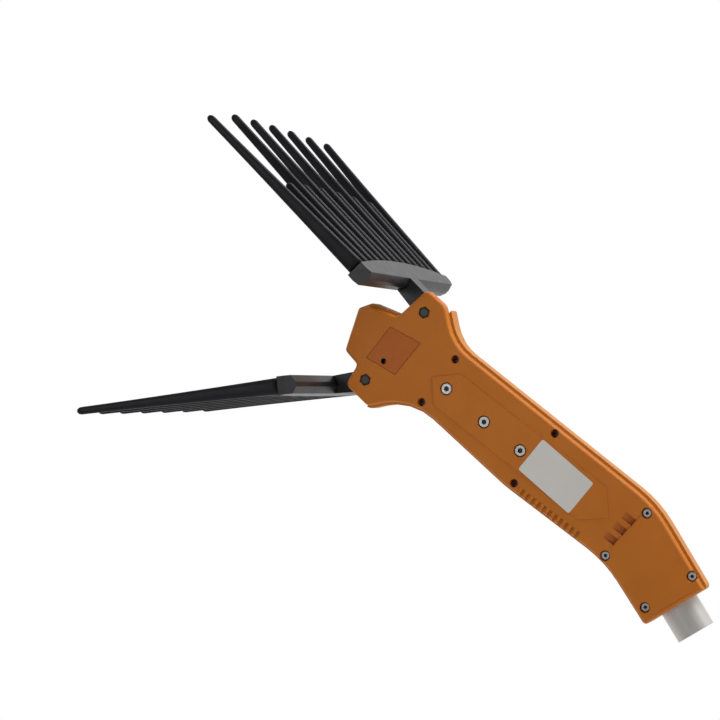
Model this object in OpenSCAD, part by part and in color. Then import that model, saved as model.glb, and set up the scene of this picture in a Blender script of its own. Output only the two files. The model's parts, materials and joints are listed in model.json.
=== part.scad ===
// Electric olive harvester head: two clapping combs on a pole-mounted drive housing.
// Millimetres. +Z runs up the pole towards the combs, +Y is the direction of the comb pivots,
// and the origin is the centre of the pole's open lower end.

/* [Pole] */
// Outside diameter of the aluminium pole
pole_od = 38; // [34:0.5:40]
// Wall of the pole tube
pole_wall = 2; // [1:0.25:4]
// Length of pole that shows below the housing
pole_stub = 30; // [25:5:300]
// Length of pole clamped inside the housing
pole_insert = 90; // [80:1:96]

/* [Housing] */
// Length of the housing from its rear end to its nose
body_len = 400; // [380:1:440]
// Thickness of the housing along the pivots
body_t = 54; // [53:0.5:70]
// Depth of the near half, from its face to the seam
near_depth = 9.5; // [9.25:0.05:10.5]
// Wall of both halves
wall = 3; // [2:0.25:3.5]
// Step of the near half inside the lip of the far half
lip_step = 2.5; // [2:0.25:3]
// Rounding of the long edges of both faces
edge_round = 2.5; // [2:0.25:3]
// Rounding-in of the far face
crown = 12; // [10:0.5:12.5]
// Height of the raised pad on the near face
pad_h = 0.8; // [0.4:0.1:1.5]
// Height of the domed grip panel over the pole
grip_h = 1.6; // [0.8:0.1:2.5]
// Width of one vent slot
vent_w = 2.6; // [1.5:0.1:3]
// Number of vent slots
vent_n = 11; // [5:1:13]

/* [Head] */
// Distance between the two comb pivots
pivot_span = 90; // [88:0.5:92]
// Lean of the line through the pivots
pivot_tilt = 15; // [12:0.5:18]
// Reach of an ear around its pivot
ear_size = 20; // [19.5:0.5:22]
// Reach of the nose from the middle of the pivots
nose_len = 50; // [46:0.5:51]
// Lean of the motor axis from the pole axis
drive_lean = 21; // [19:0.5:23]

/* [Combs] */
// Direction of the middle line between the combs, from +X
comb_axis = 127.5; // [126:0.5:129]
// Angle of each open comb from that line
comb_open = 27.5; // [26:0.5:29]
// Swing of each comb from open to closed
swing = 24; // [20:1:25]
// Length of a comb bar
bar_len = 262; // [254:1:290]
// Depth of a comb bar in the direction of swing
bar_d = 18; // [16:0.5:20]
// Length of a comb bar along its tines, at its ends
bar_h = 17; // [15:0.5:22]
// Reach of the middle tine's root from the pivot
root_reach = 61; // [56:0.5:66]
// Radius of the arc on which the tine roots lie
fan_r = 900; // [800:10:1000]
// Exposed length of the middle long tine
long_len = 200; // [150:1:240]
// Inward bend of the near end tine of the upper comb, at its tip
end_bend = 7; // [0:0.5:8]
// Exposed length of the short tines beside it
short_len = 108; // [80:1:140]
// Depth of a tine at its root
tine_d = 16.5; // [13:0.25:17]
// Thickness of a tine at its root
tine_t = 8; // [7:0.25:10]
// Depth of a tine near its tip
tip_d = 7.5; // [5:0.25:10]
// Thickness of a tine near its tip
tip_t = 6; // [4:0.25:7]
// Diameter of the peg that holds a tine in the bar
peg_d = 6; // [4:0.25:6.5]

/* [Arms and drive] */
// Width of an arm along its pivot
arm_w = 23; // [22:0.25:24]
// Diameter of an arm's hub
hub_d = 24; // [22:0.5:25]
// Outside diameter of a pivot bush
bush_d = 12; // [10:0.5:14]
// Distance from a pivot to its lever pin
lever_r = 30; // [28:0.25:32]
// Diameter of a lever pin
pin_d = 7; // [6:0.25:8]
// Thickness of a lever plate
lever_t = 4; // [3:0.25:4.5]
// Thickness of the yoke
yoke_t = 9.5; // [8:0.25:10]
// Distance from the pivot line to the crank
crank_gap = 36.5; // [36:0.25:37.5]
// Outside diameter of the bush on the crank pin
roller_d = 10; // [9:0.25:10.5]
// Thickness of a frame plate
plate_t = 6; // [5:0.25:7]
// Bore of the crank bearings
bearing_id = 10; // [8:0.5:11]
// Outside diameter of the crank bearings
bearing_od = 22; // [20:0.5:24]
// Module of the gear pair
gear_m = 1; // [0.95:0.05:1.05]
// Diameter of the motor can
motor_d = 34; // [30:0.5:34]
// Length of the motor can
motor_len = 72; // [60:1:74]
// Distance from the crank to the front of the motor
motor_start = 52; // [50:0.5:54]
// Length of the motor's rear cap
cap_len = 10; // [6:0.5:12]
// Diameter of the motor shaft
shaft_d = 6; // [5:0.25:7]

/* [Fasteners] */
// Thread of the pivot bolts and frame screws
bolt_d = 6; // [5:0.25:7]
// Width across flats of the pivot bolt heads and nuts
hex_af = 10; // [9:0.25:11]
// Head diameter of the frame screws
cap_d = 10; // [9:0.25:11]
// Thread of the screws that clamp the pole and join the halves
small_d = 4; // [3:0.25:5]
// Head diameter of the clamp and shell screws
small_cap_d = 7.5; // [6.5:0.25:8]

/* [Hidden] */
$fn = 48;
long_n = 7;
short_n = long_n - 1;
sides = ["upper", "lower"];
fixed_nodes = ["near_shell", "far_shell", "access_cover", "pole_tube", "clamp_screws", "shell_screws",
  "frame_screws", "pivot_bolts", "pivot_nuts", "pivot_bushes", "near_frame_plate", "far_frame_plate",
  "yoke_guides", "ball_bearings", "motor_mount", "motor_can", "motor_cap"];
comb_parts = ["arm", "lever_pin", "comb_bar", "comb_screws"];
drive_nodes = ["yoke", "crank", "crown_gear", "crank_bush", "armature", "drive_pinion"];
comb_nodes = [for (s = sides) each concat(
  [for (p = comb_parts) str(s, "_", p)],
  [for (i = [1:long_n]) str(s, "_long_tine_", i)],
  [for (i = [1:short_n]) str(s, "_short_tine_", i)])];

// Clearances: sliding fits, running gaps, fixed seats and the overrun of cuts
fit = 0.03;
seat = 0.05;
side_gap = 0.5;
slot_gap = 0.2;
roller_gap = 0.45;
over = 1;
min_r = 0.4;
arc_steps = 4;

// Places on the housing, as shares of its length, from the pole axis at its rear end
head_share = [-0.26125, 0.89125];
rear_screw_shares = [[-0.029, 0.497], [-0.1785, 0.4482]];
pad_shares = [[-0.219, 0.775], [-0.251, 0.715], [-0.0885, 0.2925], [-0.021, 0.258], [0.012, 0.322],
  [-0.153, 0.743]];
vent_shares = [[-0.1765, 0.4165], [-0.112, 0.2635]];
vent_in_share = 0.011;
// Screws behind the head, as shares of the crank's distance from the pivots, and along the motor
head_screw_shares = [[1.263, -1.213], [-0.145, -1.679]];
plate_screw_share = [0.641, -1.751];
motor_screw_share = 0.41;
cap_screw_share = 0.3;
// Corners of the rear body, as shares of its length: x, z and corner radius
rear_shares = [[0.0892, 0, 0.01], [0.0925, 0.2296, 0.3]];
belly_shares = [[-0.2076, 0.4579, 0.375], [-0.0915, 0.1755, 0.3], [-0.0876, 0, 0.01]];
// Corners behind the ears, as shares of the same distance
neck_share = [1.492, -0.835, 1.38];
throat_share = [-0.412, -1.436, 1.63];
// Corners of the ears, as shares of their size from the pivot
upper_ear_shares = [[1.213, -0.302, 0.75], [0.821, 1.032, 0.45], [-1.241, 0.723, 0.2]];
lower_ear_shares = [[-0.077, 0.972, 0.2], [-1.174, 0.423, 0.4], [-0.715, -1.258, 0.45]];
// Corners of the nose, as shares of its length along and up from the pivot line
nose_shares = [[0.285, 0.965, 0.12], [0.009, 1.116, 0.08], [-0.8, 0.755, 0.1]];
// Profile of the far half, as shares of its depth from the seam and of its crown
far_shares = [[0.36, 0], [0.57, 0.18], [0.77, 0.43], [0.91, 0.72]];
shoulder_share = 0.5;
// Clamp screws beside the pole, as shares of its diameter and of its clamped length
clamp_shares = [[0.65, 0.98], [-0.82, 0.83], [0.79, 0.18], [-0.63, 0.155]];
// Domed panel over the pole and the finger pockets above it, as shares of the same two sizes
grip_shares = [[-0.71, 0.045], [0.74, 0.045], [0.74, 1.015], [-0.71, 0.855]];
grip_r_share = 5.8;
pocket_share = [-0.078, 0.925];
pocket_step_share = [0.326, 0.088];
pocket_size_shares = [0.19, 0.1, 0.35];
// Access cover, as shares of the nose length along the pivot line and up from it
cover_shares = [[-0.557, 0.278], [-0.398, -0.382], [0.404, -0.348], [0.219, 0.322]];
cover_hole_share = [-0.371, -0.033];
cover_t = 2;
// Crank radius as a share of the half stroke that it drives over the angles used here
crank_share = 1.095;
// Gear teeth, as shares of the module
face_share = 1.7;
addendum_share = 0.8;
dedendum_share = 1.1;
tooth_share = 1.1;
pressure_angle = 20;
// Heads of the fasteners, as shares of their sizes
hex_h_share = 0.4;
cap_h_share = 0.55;
socket_share = 0.8;

head = head_share * body_len;
pivot_dir = [cos(pivot_tilt), sin(pivot_tilt)];
head_dir = [-sin(pivot_tilt), cos(pivot_tilt)];
upper_pivot = head + pivot_dir * pivot_span / 2;
lower_pivot = head - pivot_dir * pivot_span / 2;
crank_at = head - head_dir * crank_gap;
face_y = body_t / 2;
seam_y = near_depth - face_y;
floor_y = face_y - wall;
arm_half = arm_w / 2;
plate_in = arm_half + side_gap;
plate_out = plate_in + plate_t;
solid_len = pole_insert + wall;
ear_floor = hub_d / 2 + wall;
floor_slope = tan(5);
nose_root = ear_floor + 2 * wall;
nose_y = wall + over;
fork_floor = hub_d / 2 + lever_t + over;
fork_half = pivot_span / 2 - hub_d / 2 - 3 * wall;

// Drive: half stroke of the yoke, places across the thickness and the gear pair
half_stroke = lever_r * sin(swing / 2);
crank_r = half_stroke * crank_share;
pin_in = lever_r * cos(swing / 2);
lever_in = lever_t - arm_half;
yoke_y = lever_in + side_gap;
yoke_end = yoke_y + yoke_t;
crown_teeth = 40;
pinion_teeth = 12;
crown_r = gear_m * crown_teeth / 2;
pinion_r = gear_m * pinion_teeth / 2;
face_half = face_share * gear_m;
addendum = addendum_share * gear_m;
dedendum = dedendum_share * gear_m;
tooth_w = tooth_share * gear_m;
tooth_slope = tan(pressure_angle);
crown_root_y = pinion_r + dedendum;
crown_back_y = arm_half - side_gap / 2;
crank_pin_d = pin_d;
web_t = lever_t - side_gap;
crank_turn = 60;

// Combs: the fan of tines about a point behind the pivot
root_spread = bar_len / 2 - tine_t - 2 * over;
fan_at = root_reach - fan_r;
fan_half = asin(root_spread / fan_r);
fan_step = 2 * fan_half / (2 * long_n - 2);
bar_front = root_reach - fan_r * (1 - cos(fan_half));
bar_back = bar_front - bar_h;

// Outlines with rounded corners
function unit(v) = v / norm(v);
function xz(p) = [p[0], p[1]];
function arc_corner(a, v, b, r) =
  let (u1 = unit(a - v), u2 = unit(b - v), half = acos(u1 * u2) / 2)
  let (c = v + unit(u1 + u2) * r / sin(half), s = v + u1 * r / tan(half), e = v + u2 * r / tan(half))
  [for (k = [0:arc_steps]) c + r * unit((s - c) * (1 - k / arc_steps) + (e - c) * k / arc_steps)];
function rounded(vs) = let (n = len(vs))
  [for (i = [0:n - 1]) each arc_corner(xz(vs[(i + n - 1) % n]), xz(vs[i]), xz(vs[(i + 1) % n]), vs[i][2])];
function inward(a, b) = let (d = unit(b - a)) [-d[1], d[0]];
function inset(vs, d) = let (n = len(vs))
  [for (i = [0:n - 1])
    let (a = xz(vs[(i + n - 1) % n]), v = xz(vs[i]), b = xz(vs[(i + 1) % n]))
    let (n1 = inward(a, v), n2 = inward(v, b), bulges = cross(v - a, b - v) > 0)
    concat(v + d * (n1 + n2) / (1 + n1 * n2), max(min_r, vs[i][2] + (bulges ? -d : d)))];
function in_head_frame(p) = head + p[0] * pivot_dir + p[1] * head_dir;
function by_crank(p) = concat(head + crank_gap * xz(p), crank_gap * p[2]);
body_corners = concat(
  rear_shares * body_len,
  [by_crank(neck_share)],
  [for (p = upper_ear_shares) concat(upper_pivot + ear_size * xz(p), ear_size * p[2])],
  [for (p = nose_shares) concat(in_head_frame(nose_len * xz(p)), nose_len * p[2])],
  [for (p = lower_ear_shares) concat(lower_pivot + ear_size * xz(p), ear_size * p[2])],
  [by_crank(throat_share)],
  belly_shares * body_len);
// The near half ends flush with the far one at the rear
near_corners = [for (c = body_corners) [c[0], c[1] > 0 ? c[1] : -lip_step, c[2]]];

// A solid skinned over rings of points, each ring given as [y, outline]
module skin(rings) {
  n = len(rings[0]);
  last = (len(rings) - 1) * n;
  polyhedron(
    points = [for (r = rings) each r],
    faces = concat(
      [[for (i = [n - 1:-1:0]) i]],
      [for (k = [0:len(rings) - 2]) for (i = [0:n - 1]) let (a = k * n + i, b = k * n + (i + 1) % n)
        each [[a, b, b + n], [a, b + n, a + n]]],
      [[for (i = [0:n - 1]) last + i]]));
}

// A flat outline in the plane of the pivots' section, thick from y0 to y1
module slab(y0, y1) {
  translate([0, y1, 0]) rotate([90, 0, 0]) linear_extrude(y1 - y0) children();
}

// A round rod along the pivots' direction
module rod(at, r, y0, y1) {
  translate([at[0], y0, at[1]]) rotate([-90, 0, 0]) cylinder(h = y1 - y0, r = r);
}

// A hexagonal rod with flats af apart
module hex_rod(at, af, y0, y1) {
  translate([at[0], y0, at[1]]) rotate([-90, 30 - pivot_tilt, 0])
    cylinder(h = y1 - y0, d = af / cos(30), $fn = 6);
}

module at_head() {
  translate([head[0], 0, head[1]]) rotate([0, -pivot_tilt, 0]) children();
}

module at_drive() {
  translate([crank_at[0], 0, crank_at[1]]) rotate([0, -drive_lean, 0]) children();
}

// The frame of one comb: +Z along its middle tine, +X outward, at its pivot
module at_comb(side) {
  upper = side == "upper";
  at = upper ? upper_pivot : lower_pivot;
  lean = upper ? comb_axis - comb_open : comb_axis + comb_open;
  translate([at[0], 0, at[1]]) rotate([0, 90 - lean, 0]) mirror([upper ? 0 : 1, 0, 0]) children();
}

// Outline of the housing at an inset
module body_outline(d) {
  polygon(rounded(inset(body_corners, d)));
}

function ring(corners, y, d) = [for (p = rounded(inset(corners, d))) [p[0], y, p[1]]];

// Hollow of the housing between its solid rear and the wall behind the nose, both stepped back with the inset
module hollow(y0, y1, d) {
  slab(y0, y1) intersection() {
    body_outline(d);
    translate([-body_len, solid_len + d]) square(2 * body_len);
    translate(head) rotate(pivot_tilt)
      translate([-body_len, ear_floor - floor_slope * d - 2 * body_len]) square(2 * body_len);
  }
}

// The room that both arms need from open to closed
module arm_slot(y0, y1) {
  for (s = sides) at_comb(s) slab(y0, y1) {
    circle(hub_d / 2 + 2 * side_gap);
    for (t = [0, swing / 2, swing]) rotate(t)
      polygon([[-hub_d / 2, 0], [hub_d / 2, 0],
        [bar_d / 2 + side_gap, root_reach], [-bar_d / 2 - side_gap, root_reach]]);
  }
}

// Everything between two heights, for cutting a half off at its seam or face
module cut_away(y0, y1) {
  slab(y0, y1) translate([-body_len, -body_len]) square(3 * body_len);
}

drive_dir = [-sin(drive_lean), cos(drive_lean)];
motor_end = motor_start + motor_len;
frame_screws_at = [head + plate_screw_share * crank_gap,
  crank_at - drive_dir * (motor_start + motor_screw_share * motor_len),
  crank_at - drive_dir * (motor_end + cap_screw_share * cap_len)];
shell_screws_at = concat([for (p = head_screw_shares) head + p * crank_gap], rear_screw_shares * body_len);
clamp_at = [for (p = clamp_shares) [p[0] * pole_od, p[1] * pole_insert]];
pivots_at = [upper_pivot, lower_pivot];
screw_boss_r = small_d / 2 + wall;
pivot_boss_r = hex_af / 2 + wall + lip_step / 2;
cap_h = bolt_d * cap_h_share;
cap_seat_y = face_y - cap_h - side_gap;
mount_top_y = cap_seat_y - wall;
frame_ends_y = [plate_out, mount_top_y, mount_top_y];
frame_tips_y = [plate_in + over, motor_d / 2 + side_gap, motor_d / 2 + side_gap];
hex_h = hex_af * hex_h_share;
small_cap_h = small_d;
pocket_gap = 0.3;
clamp_seat_y = small_cap_h + wall - face_y;
shell_seat_y = -plate_in - wall;

module pole_bore() {
  translate([0, 0, -over]) cylinder(h = solid_len + 3 * wall, d = pole_od + 2 * seat);
}

// The domed panel over the pole
module grip_panel() {
  grip_r = grip_r_share * pole_od;
  intersection() {
    slab(-face_y - 2 * grip_h, -face_y + over)
      polygon([for (p = grip_shares) [p[0] * pole_od, p[1] * pole_insert]]);
    translate([0, grip_r - face_y - grip_h, 0]) cylinder(h = solid_len, r = grip_r);
  }
}

// Three sloping finger pockets along the top edge of the panel
module grip_pockets() {
  size = pocket_size_shares * pole_od;
  for (i = [-1:1])
    translate([pocket_share[0] * pole_od + i * pocket_step_share[0] * pole_od, -face_y,
      pocket_share[1] * pole_insert + i * pocket_step_share[1] * pole_od])
      rotate([0, -drive_lean, 0]) translate([-size[0] / 2, 0, 0]) rotate([90, 0, 90]) linear_extrude(size[0])
        polygon([[-2 * grip_h, 0], [size[1], 0], [0, size[2]], [-2 * grip_h, size[2]]]);
}

module near_shell() {
  color("#e08a1e") difference() {
    union() {
      difference() {
        skin([ring(near_corners, -face_y - over / 2, lip_step + 2 * edge_round),
          ring(near_corners, -face_y, lip_step + edge_round),
          ring(near_corners, -face_y + edge_round / 4, lip_step + edge_round / 2),
          ring(near_corners, -face_y + edge_round, lip_step + edge_round / 8),
          ring(near_corners, seam_y + over / 2, lip_step)]);
        cut_away(-face_y - 3 * over, -face_y);
        cut_away(seam_y, seam_y + 3 * over);
        hollow(-floor_y, seam_y + 2 * over, lip_step + wall);
      }
      slab(-face_y - pad_h, -face_y + over) polygon(pad_shares * body_len);
      grip_panel();
      for (p = pivots_at) rod(p, pivot_boss_r, -floor_y - over, -plate_out);
      for (i = [0:2]) rod(frame_screws_at[i], cap_d / 2 + wall, -floor_y - over, -frame_ends_y[i]);
      for (p = shell_screws_at) rod(p, screw_boss_r, -floor_y - over, -plate_in);
    }
    pole_bore();
    for (p = pivots_at) {
      hex_rod(p, hex_af + 2 * pocket_gap, -face_y - over, -face_y + hex_h + side_gap);
      rod(p, bolt_d / 2 + seat, -face_y - over, over);
    }
    for (p = frame_screws_at) {
      rod(p, cap_d / 2 + over + pocket_gap, -face_y - grip_h - over, -cap_seat_y);
      rod(p, bolt_d / 2 + seat, -face_y - over, over - plate_out);
    }
    for (p = shell_screws_at) {
      rod(p, small_cap_d / 2 + pocket_gap, -face_y - grip_h - over, shell_seat_y);
      rod(p, small_d / 2 + seat, -face_y - over, over - plate_in);
    }
    for (p = clamp_at) {
      rod(p, small_cap_d / 2 + over + pocket_gap, -face_y - grip_h - over, clamp_seat_y);
      rod(p, small_d / 2 + seat, -face_y - over, seam_y + over);
    }
    cover_pocket(pocket_gap, over);
    at_head() rod(cover_hole_share * nose_len, bolt_d / 2, -face_y - over, -plate_out);
    grip_pockets();
    vents();
  }
}

module cover_pocket(gap, above) {
  at_head() slab(-face_y - above, -face_y + cover_t + gap / 2)
    offset(delta = gap) polygon(cover_shares * nose_len);
}

module vents() {
  for (i = [0:vent_n - 1]) {
    at = (vent_shares[0] + (vent_shares[1] - vent_shares[0]) * i / (vent_n - 1)) * body_len;
    slab(-face_y - over, -floor_y + over) translate(at) rotate(drive_lean)
      square([2 * vent_in_share * body_len, vent_w], center = true);
  }
}

far_depth = face_y - seam_y;
shoulder = wall - side_gap + shoulder_share * crown;
shoulder_y = plate_out + side_gap;

// The far half stops below the hubs on both sides, so that the arms stand in an open fork
module open_fork() {
  at_head() slab(seam_y - over, face_y + over) for (s = [0, 1]) mirror([s, 0])
    translate([fork_half, -fork_floor]) square([body_len / 2, fork_floor + nose_root - side_gap]);
}

module far_shell() {
  color("#e08a1e") difference() {
    skin(concat(
      [ring(body_corners, seam_y - over / 2, 0)],
      [for (f = far_shares) ring(body_corners, seam_y + f[0] * far_depth, f[1] * crown)],
      [ring(body_corners, face_y, crown), ring(body_corners, face_y + over / 2, crown + 2 * over)]));
    cut_away(face_y, face_y + 3 * over);
    cut_away(seam_y - 3 * over, seam_y);
    difference() {
      union() {
        hollow(seam_y - 2 * over, yoke_end + side_gap, wall);
        hollow(0, shoulder_y, shoulder);
        hollow(shoulder_y - over, floor_y, crown + wall);
      }
      for (p = shell_screws_at) rod(p, screw_boss_r, -plate_in, face_y);
    }
    for (p = shell_screws_at) rod(p, screw_boss_r + pocket_gap, seam_y - over, -plate_in);
    at_head() slab(nose_y, face_y + over) translate([-body_len / 2, nose_root]) square(body_len);
    open_fork();
    arm_slot(-plate_in, plate_in);
    pole_bore();
    for (p = shell_screws_at) rod(p, small_d / 2 + seat, -plate_in - over, 3 * wall);
    for (p = clamp_at) rod(p, small_d / 2 + seat, seam_y - over, 2 * wall);
  }
}

module access_cover() {
  color("#e08a1e") difference() {
    at_head() slab(-face_y, -face_y + cover_t) polygon(cover_shares * nose_len);
    at_head() rod(cover_hole_share * nose_len, bolt_d / 2, -face_y - over, -face_y + cover_t + over);
  }
}

module pole_tube() {
  color("#c9cbca") translate([0, 0, -pole_stub]) difference() {
    cylinder(h = pole_stub + pole_insert, d = pole_od);
    translate([0, 0, -over]) cylinder(h = pole_stub + pole_insert + 2 * over, d = pole_od - 2 * pole_wall);
  }
}

// A socket-head screw along the pivots' direction: head from y0, tip at y1
module cap_screw(at, d, head_d, head_h, y0, y1) {
  difference() {
    union() {
      rod(at, head_d / 2, y0, y0 + head_h);
      rod(at, d / 2, y0 + head_h / 2, y1);
    }
    hex_rod(at, d * socket_share, y0 - over, y0 + head_h / 2);
  }
}

module clamp_screws() {
  color("#9aa0a4") for (p = clamp_at)
    cap_screw(p, small_d, small_cap_d, small_cap_h, clamp_seat_y - small_cap_h, wall + over);
}

module shell_screws() {
  color("#9aa0a4") for (p = shell_screws_at)
    cap_screw(p, small_d, small_cap_d, small_cap_h, shell_seat_y - small_cap_h, 2 * wall);
}

module frame_screws() {
  color("#c5c8ca") for (i = [0:2])
    cap_screw(frame_screws_at[i], bolt_d, cap_d, cap_h, -cap_seat_y - cap_h, -frame_tips_y[i]);
}

module pivot_bolts() {
  color("#3a3d40") for (p = pivots_at) {
    hex_rod(p, hex_af, -face_y + side_gap, -face_y + side_gap + hex_h);
    rod(p, bolt_d / 2, -face_y + side_gap + hex_h, plate_out + hex_h + over);
  }
}

module pivot_nuts() {
  color("#3a3d40") for (p = pivots_at) difference() {
    hex_rod(p, hex_af, plate_out, plate_out + hex_h);
    rod(p, bolt_d / 2 + seat, 0, face_y);
  }
}

module pivot_bushes() {
  color("#b9a25a") for (p = pivots_at) difference() {
    rod(p, bush_d / 2, -plate_in, plate_in);
    rod(p, bolt_d / 2 + seat, -face_y, face_y);
  }
}

guide_in = crank_r + roller_d / 2 + side_gap + wall + pocket_gap;
guide_w = plate_t - over;
plate_r = bush_d / 2 + wall - side_gap;
guide_top = crank_gap - half_stroke - roller_d / 2 - roller_gap - side_gap;
guide_end = crank_gap + half_stroke + roller_d / 2;

module frame_outline() {
  for (p = pivots_at) translate(p) circle(plate_r);
  translate(head) rotate(pivot_tilt)
    polygon([[-pivot_span / 2, -plate_r], [-guide_in - guide_w, -guide_end], [guide_in + guide_w, -guide_end],
      [pivot_span / 2, -plate_r], [pivot_span / 2, 0], [-pivot_span / 2, 0]]);
}

module frame_plate(y0, y1) {
  difference() {
    slab(y0, y1) frame_outline();
    for (p = pivots_at) rod(p, bolt_d / 2 + seat, y0 - over, y1 + over);
    rod(crank_at, bearing_od / 2 + seat, y0 - over, y1 + over);
  }
}

module near_frame_plate() {
  lug = frame_screws_at[0];
  foot = in_head_frame([0, -guide_end]);
  color("#8d9296") difference() {
    union() {
      frame_plate(-plate_out, -plate_in);
      difference() {
        slab(-plate_out, -plate_in) {
          translate(lug) circle(cap_d);
          translate(foot) rotate(atan2(lug[1] - foot[1], lug[0] - foot[0]))
            translate([-wall, -cap_d]) square([norm(lug - foot) + wall, 2 * cap_d]);
        }
        rod(crank_at, bearing_od / 2 + seat, -plate_out - over, over - plate_in);
      }
    }
    rod(lug, bolt_d / 2 + seat, -plate_out - over, over - plate_in);
  }
}

module far_frame_plate() {
  color("#8d9296") frame_plate(plate_in, plate_out);
}

module yoke_guides() {
  color("#c9b46a") at_head() for (s = [-1, 1])
    translate([s * (guide_in + guide_w / 2), 0, 0]) slab(-plate_in, yoke_end)
      translate([-guide_w / 2, -guide_end]) square([guide_w, guide_end - guide_top]);
}

module ball_bearings() {
  color("#d7d9da") for (y0 = [-plate_out, plate_in]) difference() {
    rod(crank_at, bearing_od / 2, y0, y0 + plate_t);
    rod(crank_at, bearing_id / 2 + fit, y0 - over, y0 + plate_t + over);
    for (y1 = [y0 - over, y0 + plate_t - side_gap]) difference() {
      rod(crank_at, bearing_od / 2 - wall / 2, y1, y1 + over + side_gap);
      rod(crank_at, bearing_id / 2 + wall / 2, y1 - over, y1 + 2 * over + side_gap);
    }
  }
}

// The motor lies behind the gear pair on the drive axis
module along_drive(d, from, to) {
  at_drive() translate([0, 0, -to]) cylinder(h = to - from, d = d);
}

mount_t = wall - side_gap;
mount_start = motor_start + 2 * wall;
mount_end = motor_end + cap_len;

module motor_mount() {
  color("#6f7478") difference() {
    union() {
      along_drive(motor_d + 2 * mount_t, mount_start, mount_end);
      for (i = [1, 2]) rod(frame_screws_at[i], cap_d / 2 + wall, seat - mount_top_y, -motor_d / 4);
    }
    along_drive(motor_d + 2 * seat, mount_start - over, mount_end + cap_d);
    for (i = [1, 2]) rod(frame_screws_at[i], bolt_d / 2 + seat, -face_y, 0);
  }
}

module motor_can() {
  color("#4b5055") difference() {
    along_drive(motor_d, motor_start, motor_end);
    along_drive(motor_d - 2 * wall, motor_start + wall, motor_end + over);
    along_drive(shaft_d + 2 * fit, motor_start - over, motor_end);
  }
}

module motor_cap() {
  color("#2e3134") difference() {
    along_drive(motor_d, motor_end, motor_end + cap_len);
    along_drive(shaft_d + 2 * fit, motor_end - over, motor_end + cap_len / 2);
  }
}

module armature() {
  color("#a86a3a") {
    along_drive(motor_d - 4 * wall, motor_start + 3 * wall, motor_end - 3 * wall);
    along_drive(shaft_d, crown_r - face_half, motor_end + cap_len / 2 - side_gap);
  }
}

// One gear tooth on the root circle: root, pitch and tip widths of the same rack
module tooth(root, pitch, tip, w) {
  flare = (pitch - root) * tooth_slope;
  nip = (tip - pitch) * tooth_slope;
  polygon([[root - gear_m / 2, -w / 2 - flare], [pitch, -w / 2], [tip, -w / 2 + nip],
    [tip, w / 2 - nip], [pitch, w / 2], [root - gear_m / 2, w / 2 + flare]]);
}

module drive_pinion() {
  color("#7f868b") at_drive() translate([0, 0, -crown_r - face_half]) difference() {
    linear_extrude(2 * face_half) {
      circle(pinion_r - dedendum);
      for (i = [0:pinion_teeth - 1]) rotate(90 + i * 360 / pinion_teeth)
        tooth(pinion_r - dedendum, pinion_r, pinion_r + addendum, tooth_w);
    }
    translate([0, 0, -over]) cylinder(h = 2 * face_half + 2 * over, d = shaft_d + 2 * seat);
  }
}

// Crank pin: its place at the open end of the stroke
crank_pin_at = crank_at + crank_r * [cos(pivot_tilt + crank_turn), sin(pivot_tilt + crank_turn)];

module crown_gear() {
  tip_y = pinion_r - addendum;
  color("#7f868b") difference() {
    union() {
      rod(crank_at, crown_r + face_half, crown_root_y, crown_back_y);
      rod(crank_at, bearing_id / 2, crown_back_y - over, plate_out);
      at_drive() for (i = [0:crown_teeth - 1]) rotate([0, (i + 0.5) * 360 / crown_teeth, 0])
        translate([0, 0, -crown_r - face_half]) linear_extrude(2 * face_half)
          rotate(90) translate([2 * pinion_r, 0]) mirror([1, 0])
            tooth(pinion_r - dedendum, pinion_r, 2 * pinion_r - tip_y, tooth_w);
    }
    rod(crank_pin_at, crank_pin_d / 2 + seat, 0, crown_back_y - over);
  }
}

module crank() {
  color("#8a9095") {
    rod(crank_at, bearing_id / 2, -plate_out, -arm_half);
    rod(crank_at, crank_r + crank_pin_d / 2 + over, -arm_half, web_t - arm_half);
    rod(crank_pin_at, crank_pin_d / 2, web_t - arm_half, crown_back_y - over - side_gap);
  }
}

module crank_bush() {
  color("#c9b46a") difference() {
    rod(crank_pin_at, roller_d / 2, yoke_y, yoke_end + side_gap);
    rod(crank_pin_at, crank_pin_d / 2 + fit, yoke_y - over, yoke_end + side_gap + over);
  }
}

// A slot with round ends, of half length l and half height h
module round_slot(l, h) {
  square([2 * l, 2 * h], center = true);
  for (s = [-1, 1]) translate([s * l, 0]) circle(h);
}

module yoke() {
  pin_mid = pivot_span / 2 - (lever_r + pin_in) / 2;
  pin_h = pin_d / 2 + slot_gap;
  slot_h = roller_d / 2 + roller_gap;
  bar_half = pin_mid + pin_h + wall + 2 * over;
  color("#b4bac0") at_head() translate([0, 0, half_stroke]) slab(yoke_y, yoke_end) difference() {
    union() {
      square([2 * bar_half, 2 * (pin_h + wall + over)], center = true);
      translate([-roller_d / 2 - wall, -crank_gap]) square([roller_d + 2 * wall, crank_gap]);
      translate([0, -crank_gap]) square([2 * (guide_in - pocket_gap), 2 * (slot_h + wall)], center = true);
    }
    for (s = [-1, 1]) translate([s * pin_mid, 0]) round_slot((lever_r - pin_in) / 2 + slot_gap, pin_h);
    translate([0, -crank_gap]) round_slot(crank_r + pocket_gap, slot_h);
    translate([0, -crank_gap / 2]) circle(wall);
  }
}

lever_turns = [180 + pivot_tilt - swing / 2, pivot_tilt + swing / 2];
lever_pins_at = [for (i = [0, 1]) pivots_at[i] + lever_r * [cos(lever_turns[i]), sin(lever_turns[i])]];

tongue_t = bar_d - 2 * wall - over;
tongue_w = arm_w - 2 * wall;
tongue_end = root_reach - 3 * wall;

// Profile of an arm from its hub to the back of the comb bar
module arm_profile() {
  circle(hub_d / 2);
  polygon([[over - hub_d / 2, 0], [hub_d / 2 - over, 0], [bar_d / 2, bar_back + wall - slot_gap],
    [0, bar_back - over - slot_gap], [-bar_d / 2, bar_back + wall - slot_gap]]);
}

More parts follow.
